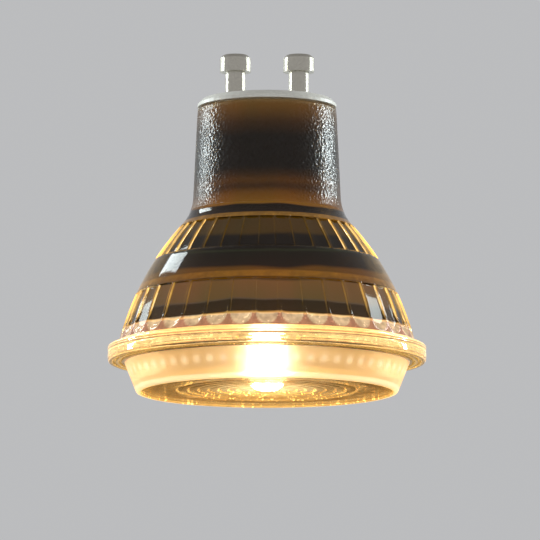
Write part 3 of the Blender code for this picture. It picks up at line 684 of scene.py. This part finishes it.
def glassRows(spec):
    # the section, up the outside and down the inside
    # each row: point, bowl share, film (1 where there is film), painted glow
    rimTop = rimBottom + spec["rimThickness"]
    mouthBore = rimRadius - spec["lip"] - spec["bowlWall"]
    rows = rimRows(spec, rimTop, mouthBore) + bowlRows(spec)
    for share in spec["flareShares"]:
        glow = spec["shoulderGlow"] if share <= spec["shoulderEnd"] else dark
        rows.append((flarePlace(spec, share), offBowl, 0.0, glow))
    neckRoot = flarePlace(spec, 1.0)
    neckRadius = neckRoot.x - spec["neckTaper"]
    neckBore = neckRadius - spec["neckWall"]
    neckTop = Vector((neckRadius, neckEnd))
    for step in range(1, spec["neckRows"]):
        rows.append((neckRoot.lerp(neckTop, step / spec["neckRows"]), offBowl, 0.0, dark))
    end = roundedOutline([
        (neckRadius, neckEnd, spec["neckRounding"]),
        (neckBore, neckEnd, spec["neckInnerRounding"]),
        (neckBore, rimTop, 0.0),
    ])
    rows += [(point, offBowl, 0.0, dark) for point in end]
    rows.append((Vector((neckBore, neckEnd - spec["neckRounding"])), offBowl, 1.0, dark))
    for step in range(spec["flareInnerRows"], -1, -1):
        share = step / spec["flareInnerRows"]
        wall = spec["neckWall"] + (spec["bowlWall"] - spec["neckWall"]) * (1.0 - share)
        rows.append((flarePlace(spec, share, wall), offBowl, 1.0, dark))
    for step in range(spec["bowlInnerRows"] - 1, -1, -1):
        point = bowlPlace(spec, step / spec["bowlInnerRows"], spec["bowlWall"])
        point.x = min(point.x, mouthBore)
        rows.append((point, offBowl, 1.0 if point.y > spec["filmStart"] else 0.0, dark))
    return rows


def makeFilmWithPaintedBands(spec, look, low, high):
    # painted bands of light and shade at their heights, swaying a little, with upright streaks of a
    # cooler and a warmer tint in that painted light; under it the film is a dark mirror
    material, tree, shader = startMaterial("mirrorFilmPaintedBands", look)
    height = mapRange(tree, splitVector(tree, objectCoordinates(tree))["Z"], low, high)
    field = noiseField(tree, spec["swayGrain"], spec["swayDetail"])
    swaying = mathOf(tree, "MULTIPLY_ADD", field, spec["sway"], height)
    centred = mathOf(tree, "SUBTRACT", swaying, spec["sway"] / 2.0)
    stops = []
    for place, colour in spec["bands"]:
        stops.append((clamped((place * mm - low) / (high - low)), colour))
    bands = colourRamp(tree, centred, stops)
    field = noiseField(tree, spec["streakGrain"], spec["streakDetail"], spec["streakStretch"])
    streaks = colourRamp(tree, field, spec["streaks"])
    tinted = nodeOf(tree, "ShaderNodeMix", data_type="RGBA", blend_type="MULTIPLY")
    tinted.inputs["Factor"].default_value = 1.0
    tree.links.new(bands, tinted.inputs["A"])
    tree.links.new(streaks, tinted.inputs["B"])
    tree.links.new(tinted.outputs["Result"], shader.inputs["Emission Color"])
    grain, detail, strength, waveHeight = spec["waves"]
    addBump(tree, shader, noiseField(tree, grain, detail), strength, waveHeight)
    return material


def makeRidgeMaterial(spec, look):
    # painted light on the sides of the ridges, strongest at the two flanks of the bulb
    material, tree, shader = startMaterial("ridgeGlassPaintedGlow", {**look, "glowColour": spec["ridgeGlow"]})
    place = splitVector(tree, objectCoordinates(tree))
    flat = nodeOf(tree, "ShaderNodeCombineXYZ")
    tree.links.new(place["X"], flat.inputs["X"])
    tree.links.new(place["Y"], flat.inputs["Y"])
    radius = nodeOf(tree, "ShaderNodeVectorMath", operation="LENGTH")
    tree.links.new(flat.outputs["Vector"], radius.inputs[0])
    side = mathOf(tree, "ABSOLUTE", mathOf(tree, "DIVIDE", place["X"], radius.outputs["Value"]))
    level = mapRange(
        tree, side, *spec["ridgeSide"], spec["ridgeCentre"], 1.0, interpolation_type="SMOOTHSTEP")
    field = noiseField(tree, spec["ridgeGrain"])
    uneven = mapRange(tree, field, *noiseRange, *spec["ridgeLevels"])
    tree.links.new(mathOf(tree, "MULTIPLY", level, uneven), shader.inputs["Emission Strength"])
    return material


def makeGlassMaterials(spec, looks):
    # in the order of the finishes
    return [
        clearMaterial("bowlGlass", looks["bowlGlass"]),
        clearMaterial("neckGlass", looks["neckGlass"]),
        makeFilmWithPaintedBands(film, looks["mirrorFilmPaintedBands"], spec["filmStart"], neckEnd),
        makeRidgeMaterial(spec, looks["bowlGlass"]),
    ]


def isRidgeWall(spec, centre, shares):
    # the two steep sides of each ridge, in both tiers, above the lobes
    if min(shares) <= spec["lowerTier"][0] + spec["lobeShare"] * spec["ridgeStart"]:
        return False
    tiers = (spec["lowerTier"], spec["upperTier"])
    if not any(low <= min(shares) and max(shares) <= high for low, high in tiers):
        return False
    turn = math.atan2(centre.y, centre.x) / (math.tau / spec["flutes"])
    foot, top = spec["fluteWall"]
    return foot < 2.0 * abs(turn - round(turn)) < top


def makeGlassBody(spec):
    stations = spec["fluteStations"]
    half = len(stations) - 1
    steps = spec["flutes"] * half * 2
    bm = bmesh.new()
    shareLayer = bm.verts.layers.float.new("bowlShare")
    filmLayer = bm.verts.layers.float.new("film")
    glowLayer = bm.verts.layers.float_color.new(edgeLight["attribute"])
    rows = glassRows(spec)

    def markRow(row, vertex):
        point, vertex[shareLayer], vertex[filmLayer], glow = rows[row]
        vertex[glowLayer] = (*glow, 1.0)

    spinOutline(bm, [row[0] for row in rows], steps, True, markRow)
    for vertex in bm.verts:
        # even steps round the glass move to the flute's stations, so that they crowd at the ridges
        radius = math.hypot(vertex.co.x, vertex.co.y)
        step = round(math.atan2(vertex.co.y, vertex.co.x) / math.tau * steps)
        flute, place = divmod(step + half, 2 * half)
        side = place - half
        across = math.copysign(stations[abs(side)], side)
        angle = (flute + across / 2.0) * math.tau / spec["flutes"]
        share = vertex[shareLayer]
        if share >= 0.0:
            depth = spec["fluteDepth"] * fluteProfile(spec, across)
            radius -= depth * fluteEase(spec, share, across)
            glow = Vector(vertex[glowLayer][:3]) + lobeLight(spec, share, across)
            vertex[glowLayer] = (*(glow + bandLight(spec, share, angle)), 1.0)
        vertex.co.x = radius * math.cos(angle)
        vertex.co.y = radius * math.sin(angle)
    neckFoot = flarePlace(spec, spec["neckFinishShare"]).y
    for face in bm.faces:
        centre = face.calc_center_median()
        if min(vertex[filmLayer] for vertex in face.verts) > 0.5:
            face.material_index = filmFinish
        elif centre.z > neckFoot:
            face.material_index = neckFinish
        elif isRidgeWall(spec, centre, [vertex[shareLayer] for vertex in face.verts]):
            face.material_index = ridgeFinish
        else:
            face.material_index = bowlFinish
    materials = makeGlassMaterials(spec, glassLooks)
    replaced = ("glass_body",)
    finishPiece("pressedGlass", bm, materials, replaced, spec["smoothAngle"])


makeGlassBody(glass)
print("glass body made")


# Front lens: flange, frosted skirt, clear ringed face and the collimator over the light source
faceZone, skirtZone, innerZone, flangeZone, footZone, lineZone, undersideZone = range(7)
clearFinish, frostFinish, flangeFinish, innerFinish, undersideFinish = range(5)
lens = {
    "skirtHeight": 4.8 * mm,
    "skirtTaper": 1.9 * mm,
    "skirtWall": 1.6 * mm,
    "skirtRounding": 0.15 * mm,
    "footRounding": 0.08 * mm,
    "footWidth": 0.35 * mm,
    "footShare": 0.17,  # of the skirt, below which it is the foot with its own brighter painted light
    "skirtRows": (  # share up the skirt, level of its painted light
        (0.02, 0.9), (0.05, 1.0), (0.10, 1.0), (0.15, 0.8), (0.18, 1.05), (0.3, 1.05),
        (0.4, 1.0), (0.46, 1.0), (0.52, 1.0), (0.58, 1.0), (0.64, 1.0), (0.70, 1.0),
        (0.76, 1.05), (0.84, 1.1), (0.90, 1.0), (0.95, 0.8)),
    "flangeWidth": 2.6 * mm,
    "flangeThickness": 1.5 * mm,
    "flangeRounding": 0.45 * mm,
    "flangeTopRounding": 0.25 * mm,
    "flangeLine": 0.80 * mm,
    "flangeLineWidth": 0.16 * mm,
    "flangeLineDepth": 0.06 * mm,
    "grooves": (  # under the flange: distance from the skirt, depth, level of its painted light
        (0.4 * mm, 0.0, 0.1), (0.5 * mm, 0.3 * mm, 1.0),
        (0.8 * mm, 0.3 * mm, 0.3), (0.9 * mm, 0.0, 1.2),
        (1.3 * mm, 0.0, 0.2), (1.4 * mm, 0.25 * mm, 1.0),
        (1.7 * mm, 0.25 * mm, 0.1), (1.8 * mm, 0.0, 1.3)),
    "flangeLevels": {  # of the painted light, point by point
        "skirtTop": (0.25, 0.15, 0.1, 0.1, 0.05),
        "edge": (0.05, 0.1, 0.7, 0.15, 0.5),
        "line": (1.3, 0.05, 1.2),
        "top": (0.9, 1.3, 0.7, 1.2, 0.8),
        "spigotFoot": 0.4,
    },
    "spigotLevels": (0.7, 0.5),
    "spigotHeight": 2.1 * mm,
    "spigotRadius": 20.8 * mm,
    "spigotWall": 1.0 * mm,
    "spigotFoot": 0.02 * mm,
    "spigotStep": (0.05 * mm, 0.1 * mm),
    "faceThickness": 1.6 * mm,
    "faceRecess": 0.35 * mm,
    "faceRim": 0.8 * mm,
    "faceLevels": {"middle": 0.8, "dome": 0.5, "rimLine": 0.6, "foot": 0.8},
    "faceEdge": (  # distance past the face's edge, height over the recess, zone, level of its painted light
        (-2.2 * mm, 0.0, faceZone, 0.4),
        (-0.1 * mm, 0.0, faceZone, 0.5),
        (0.0, -0.1 * mm, lineZone, 1.0)),
    "rimLineStep": 0.12 * mm,
    "ringShares": (0.14, 0.25, 0.32, 0.40, 0.48, 0.56, 0.64, 0.73),
    "ringLevels": (1.6, 2.0, 2.4, 1.8, 1.0, 0.8, 1.0, 0.8),
    "ringStep": 0.22 * mm,
    "ringDome": 0.35,
    "ringSection": (  # distance inside the ring, share of its step, zone, share of its painted light, own painted light
        (0.46 * mm, 1.0, faceZone, 0.0, 0.1), (0.34 * mm, 0.8, lineZone, 1.0, 0.0),
        (0.12 * mm, 0.2, lineZone, 0.8, 0.0), (0.0, 0.0, faceZone, 0.0, 0.1)),
    "cupRadius": 3.3 * mm,
    "cupDepth": 3.0 * mm,
    "collimatorTop": 4.4 * mm,
    "collimatorFoot": 7.5 * mm,
    "lenslets": 60,
    "stepsPerLenslet": 6,
    "lensletHeight": 3.0 * mm,
    "lensletReach": 0.62 * mm,
    "lensletGlow": (0.36, 0.33, 0.22),
    # the colour of the painted light in each zone of the lens
    "zoneGlows": {
        faceZone: (0.030, 0.013, 0.002),
        skirtZone: (0.38, 0.180, 0.030),
        innerZone: dark,
        flangeZone: (0.54, 0.37, 0.16),
        footZone: (0.58, 0.45, 0.24),
        lineZone: (0.50, 0.28, 0.07),
        undersideZone: (0.30, 0.18, 0.04),
    },
    "smoothAngle": 35.0,
}
lensLooks = {  # in the order of the finishes
    "clearLensPlastic": {
        "colour": (0.20, 0.115, 0.034), "roughness": 0.04, "transmission": 1.0, "ior": 1.4,
        "gloss": 0.01, "glow": 1.0, "glints": (8.0, 0.5 * mm),
        "waves": (0.9 * mm, 2.0, 0.8, 0.14 * mm)},
    "frostedSkirt": {
        "colour": (1.0, 0.84, 0.58), "roughness": 0.39, "transmission": 0.6, "ior": 1.4,
        "glow": 1.0, "waves": (0.35 * mm, 3.0, 0.2, 0.05 * mm)},
    "flangePlastic": {
        "colour": (0.55, 0.41, 0.19), "roughness": 0.05, "transmission": 1.0, "ior": 1.4,
        "gloss": 0.3, "glow": 1.0, "glints": (1.0, 0.55 * mm),
        "waves": (2.0 * mm, 2.0, 0.5, 0.1 * mm)},
    "collimatorPlastic": {
        "colour": (1.0, 0.95, 0.86), "roughness": 0.05, "transmission": 1.0, "ior": 1.4,
        "waves": (3.0 * mm, 2.0, 0.3, 0.1 * mm)},
    "flangeUnderside": {  # turns the light of the glass behind it back, dark and golden; its lines of light along the grooves are painted
        "colour": (0.45, 0.31, 0.11), "roughness": 0.12, "metallic": 0.6, "transmission": 1.0,
        "edgeTint": (0.35, 0.26, 0.10), "glow": 1.0, "glints": (3.0, 0.8 * mm),
        "waves": (0.8 * mm, 2.0, 1.0, 0.25 * mm)},
}


def faceRows(spec, faceRadius, skirtFoot):
    # from the middle of the face outwards: shallow domes between the rings, which carry painted
    # lines of light
    recess = spec["faceRecess"]
    step = spec["ringStep"]
    levels = spec["faceLevels"]
    rows = [((0.0, recess), faceZone, levels["middle"])]
    previous = 0.0
    for share, light in zip(spec["ringShares"], spec["ringLevels"]):
        ring = faceRadius * share
        domeTop = recess + step * spec["ringDome"]
        rows.append((((previous + ring) / 2.0, domeTop), faceZone, levels["dome"]))
        for inside, rise, zone, shareOfLight, ownLight in spec["ringSection"]:
            level = light * shareOfLight + ownLight
            rows.append(((ring - inside, recess + step * rise), zone, level))
        previous = ring
    for along, up, zone, level in spec["faceEdge"]:
        rows.append(((faceRadius + along, recess + up), zone, level))
    rows.append(((faceRadius + spec["rimLineStep"], 0.0), lineZone, levels["rimLine"]))
    rows.append(((skirtFoot - spec["footWidth"], 0.0), footZone, levels["foot"]))
    return rows


def skirtRows(spec, skirtFoot):
    rows = []
    for index, (share, level) in enumerate(spec["skirtRows"]):
        radius = skirtFoot + spec["skirtTaper"] * share
        if index == 0:
            radius -= spec["footRounding"]
        zone = footZone if share < spec["footShare"] else skirtZone
        rows.append(((radius, spec["skirtHeight"] * share), zone, level))
    return rows


def flangeRows(spec, skirtTop, flangeTop):
    # the underside gets dim painted light, and painted thin lines of light run along the rounded
    # edges
    # each corner: place, fillet, the zones of its points and the levels of their painted light
    height = spec["skirtHeight"]
    line, halfLine = height + spec["flangeLine"], spec["flangeLineWidth"] / 2.0
    lineBottom = rimRadius - spec["flangeLineDepth"]
    levels = spec["flangeLevels"]
    lineLow, lineDeep, lineHigh = levels["line"]
    topZones = (faceZone, faceZone, faceZone, undersideZone, undersideZone)
    edgeZones = (undersideZone, undersideZone, flangeZone, faceZone, flangeZone)
    corners = [(skirtTop, height, spec["skirtRounding"], topZones, levels["skirtTop"])]
    for along, up, level in spec["grooves"]:
        corners.append((skirtTop + along, height + up, 0.0, (undersideZone,), (level,)))
    corners += [
        (rimRadius, height, spec["flangeRounding"], edgeZones, levels["edge"]),
        (rimRadius, line - halfLine, 0.0, (flangeZone,), (lineLow,)),
        (lineBottom, line, 0.0, (flangeZone,), (lineDeep,)),
        (rimRadius, line + halfLine, 0.0, (flangeZone,), (lineHigh,)),
        (rimRadius, flangeTop, spec["flangeTopRounding"], (flangeZone,) * 5, levels["top"]),
        (spec["spigotRadius"], flangeTop, 0.0, (flangeZone,), (levels["spigotFoot"],)),
        (spec["spigotRadius"], 0.0, 0.0, (), ()),
    ]
    outline = roundedOutline([corner[:3] for corner in corners])
    zones = [zone for corner in corners for zone in corner[3]]
    lights = [level for corner in corners for level in corner[4]]
    return list(zip(outline, zones, lights))


def insideRows(spec, skirtFoot, flangeTop, lensTop):
    spigotTop = flangeTop + spec["spigotHeight"]
    inner = spec["spigotRadius"] - spec["spigotWall"]
    stepIn, stepDown = spec["spigotStep"]
    floor = spec["faceRecess"] + spec["faceThickness"]
    innerFoot = skirtFoot - spec["skirtWall"] + spec["skirtTaper"] * floor / spec["skirtHeight"]
    footLevel, topLevel = spec["spigotLevels"]
    rows = [
        ((spec["spigotRadius"], flangeTop + spec["spigotFoot"]), skirtZone, footLevel),
        ((spec["spigotRadius"], spigotTop), skirtZone, topLevel),
    ]
    inside = (
        (inner, spigotTop),
        (inner, flangeTop),
        (inner - stepIn, flangeTop - stepDown),
        (innerFoot, floor),
        (spec["collimatorFoot"], floor),
        (spec["collimatorTop"], lensTop),
        (spec["cupRadius"], lensTop),
        (spec["cupRadius"], lensTop - spec["cupDepth"]),
        (0.0, lensTop - spec["cupDepth"]),
    )
    return rows + [(place, innerZone, 1.0) for place in inside]


def lensRows(spec):
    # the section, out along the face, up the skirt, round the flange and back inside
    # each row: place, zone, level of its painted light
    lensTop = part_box("front_lens")[1].z
    skirtTop = rimRadius - spec["flangeWidth"]
    skirtFoot = skirtTop - spec["skirtTaper"]
    flangeTop = spec["skirtHeight"] + spec["flangeThickness"]
    return (
        faceRows(spec, skirtFoot - spec["faceRim"], skirtFoot) + skirtRows(spec, skirtFoot)
        + flangeRows(spec, skirtTop, flangeTop) + insideRows(spec, skirtFoot, flangeTop, lensTop)
    )


def lensletSpot(spec, place):
    # how much of a painted soft bright spot of the row round the upper half of the skirt reaches
    # this place
    turn = math.atan2(place.y, place.x) / math.tau * spec["lenslets"]
    aside = (turn - round(turn)) * math.tau / spec["lenslets"] * place.xy.length
    above = place.z - spec["lensletHeight"]
    return math.exp(-(aside**2 + above**2) / spec["lensletReach"]**2)


def lensFinish(zones):
    if min(zones) == undersideZone:
        return undersideFinish
    if min(zones) == innerZone and max(zones) in (innerZone, flangeZone):
        return innerFinish
    if flangeZone in zones or undersideZone in zones:
        return flangeFinish
    if skirtZone in zones or footZone in zones:
        return frostFinish
    return clearFinish


def makeLens(spec):
    bm = bmesh.new()
    zoneLayer = bm.verts.layers.float.new("zone")
    glowLayer = bm.verts.layers.float_color.new(edgeLight["attribute"])
    rows = lensRows(spec)

    def markRow(row, vertex):
        place, zone, level = rows[row]
        vertex[zoneLayer] = zone
        vertex[glowLayer] = (*scaled(spec["zoneGlows"][zone], level), 1.0)

    steps = spec["lenslets"] * spec["stepsPerLenslet"]
    spinOutline(bm, [row[0] for row in rows], steps, False, markRow)
    for vertex in bm.verts:
        if vertex[zoneLayer] == skirtZone:
            spot = Vector(spec["lensletGlow"]) * lensletSpot(spec, vertex.co)
            vertex[glowLayer] = (*(Vector(vertex[glowLayer][:3]) + spot), 1.0)
    for face in bm.faces:
        face.material_index = lensFinish([vertex[zoneLayer] for vertex in face.verts])
    materials = [clearMaterial(name, look) for name, look in lensLooks.items()]
    replaced = ("front_lens",)
    finishPiece("lensMoulding", bm, materials, replaced, spec["smoothAngle"])


makeLens(lens)


# The bright column in the middle of the lens: it stands for the light that runs down the collimator
column = {
    "foot": 0.75 * mm,
    "top": 9.2 * mm,
    "footRadius": 1.8 * mm,
    "topRadius": 2.25 * mm,
    "sides": 48,
    "rounding": 0.4 * mm,
    "roundingSteps": 3,
    "look": {
        "colour": (1.0, 0.9, 0.7), "roughness": 0.5, "glowColour": (1.0, 0.91, 0.77), "glow": 150.0,
        "grain": 0.9 * mm, "detail": 3.0, "spread": 0.05},
}


def makeLightColumn(spec):
    bm = bmesh.new()
    middle = Matrix.Translation((0.0, 0.0, (spec["top"] + spec["foot"]) / 2.0))
    bmesh.ops.create_cone(
        bm, cap_ends=True, segments=spec["sides"], radius1=spec["footRadius"],
        radius2=spec["topRadius"], depth=spec["top"] - spec["foot"], matrix=middle,
    )
    bmesh.ops.bevel(
        bm, geom=bm.edges, offset=spec["rounding"], segments=spec["roundingSteps"],
        profile=0.5, affect="EDGES", material=-1,
    )
    material = litMaterial("lightColumn", spec["look"])
    piece = finishPiece("lightColumn", bm, [material])
    piece.visible_diffuse = False  # the phosphor lights the surroundings, the column is only seen


makeLightColumn(column)
print("front lens made")


# Everything else keeps its CAD shape and gets its finish here
finishes = {
    "ivoryPlastic": {
        "nodes": ("base_plug",), "colour": (0.80, 0.78, 0.71),
        "roughness": 0.42, "grain": 0.5 * mm, "spread": 0.04, "bump": 0.15},
    "nickelPlatedBrass": {
        "nodes": ("contact_pin_left", "contact_pin_right"), "colour": (0.56, 0.53, 0.46),
        "roughness": 0.24, "metallic": 1.0, "grain": 0.4 * mm, "spread": 0.06},
    "pressedAluminium": {
        "nodes": ("heat_spreader",), "colour": (0.62, 0.63, 0.64),
        "roughness": 0.36, "metallic": 1.0, "grain": 0.9 * mm, "spread": 0.05},
    "siliconePad": {
        "nodes": ("thermal_pad",), "colour": (0.42, 0.50, 0.56),
        "roughness": 0.75, "grain": 0.3 * mm, "spread": 0.08, "bump": 0.3},
    "whiteSolderMask": {
        "nodes": ("led_board",), "colour": (0.82, 0.82, 0.79),
        "roughness": 0.38, "grain": 0.7 * mm, "spread": 0.02, "bump": 0.1},
    "creamCeramic": {
        "nodes": ("led_package",), "colour": (0.83, 0.80, 0.72),
        "roughness": 0.5, "grain": 0.25 * mm, "spread": 0.03},
    "zincPlatedSteel": {
        "nodes": ("board_screw_left", "board_screw_right"), "colour": (0.55, 0.56, 0.57),
        "roughness": 0.3, "metallic": 1.0, "grain": 0.3 * mm, "spread": 0.08},
    "greenSolderMask": {
        "nodes": ("driver_board",), "colour": (0.035, 0.17, 0.07),
        "roughness": 0.35, "grain": 0.8 * mm, "spread": 0.12},
    "blackSleeve": {
        "nodes": ("bulk_capacitor",), "colour": (0.025, 0.026, 0.03),
        "roughness": 0.33, "grain": 0.6 * mm, "spread": 0.15},
    "yellowResin": {
        "nodes": ("film_capacitor",), "colour": (0.72, 0.46, 0.06),
        "roughness": 0.4, "grain": 0.7 * mm, "spread": 0.06},
    "darkFerrite": {
        "nodes": ("choke_core",), "colour": (0.045, 0.042, 0.04),
        "roughness": 0.62, "grain": 0.3 * mm, "spread": 0.2},
    "enamelledCopper": {
        "nodes": ("choke_winding",), "colour": (0.62, 0.23, 0.07),
        "roughness": 0.28, "metallic": 1.0, "grain": 0.22 * mm, "spread": 0.16, "bump": 0.6},
    "blackEpoxy": {
        "nodes": ("bridge_rectifier", "controller_chip"), "colour": (0.022, 0.022, 0.023),
        "roughness": 0.55, "grain": 0.2 * mm, "spread": 0.2},
    "resistorLacquer": {
        "nodes": ("fuse_resistor",), "colour": (0.20, 0.30, 0.22),
        "roughness": 0.3, "grain": 0.5 * mm, "spread": 0.08},
    "brownInsulation": {
        "nodes": ("live_lead",), "colour": (0.16, 0.06, 0.025),
        "roughness": 0.42, "grain": 0.4 * mm, "spread": 0.1},
    "blueInsulation": {
        "nodes": ("neutral_lead",), "colour": (0.03, 0.10, 0.36),
        "roughness": 0.42, "grain": 0.4 * mm, "spread": 0.1},
    "blackInsulation": {
        "nodes": ("led_lead_negative",), "colour": (0.02, 0.02, 0.022),
        "roughness": 0.42, "grain": 0.4 * mm, "spread": 0.2},
    "redInsulation": {
        "nodes": ("led_lead_positive",), "colour": (0.50, 0.025, 0.02),
        "roughness": 0.42, "grain": 0.4 * mm, "spread": 0.1},
}
lightSource = {  # the lit resin over the chips
    "colour": (1.0, 0.75, 0.4), "roughness": 0.5, "glowColour": (1.0, 0.86, 0.66), "glow": 30.0,
    "grain": 0.5 * mm, "detail": 2.0, "spread": 0.06, "bump": 0.2, "bumpHeight": 0.03 * mm,
}


def dressNode(name, material):
    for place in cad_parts[name].material_slots:
        place.material = material


for finish, look in finishes.items():
    material = grainyMaterial(finish, look)
    for name in look["nodes"]:
        dressNode(name, material)
dressNode("led_phosphor", litMaterial("litPhosphor", lightSource))
print("base, pins, driver and light source finished")
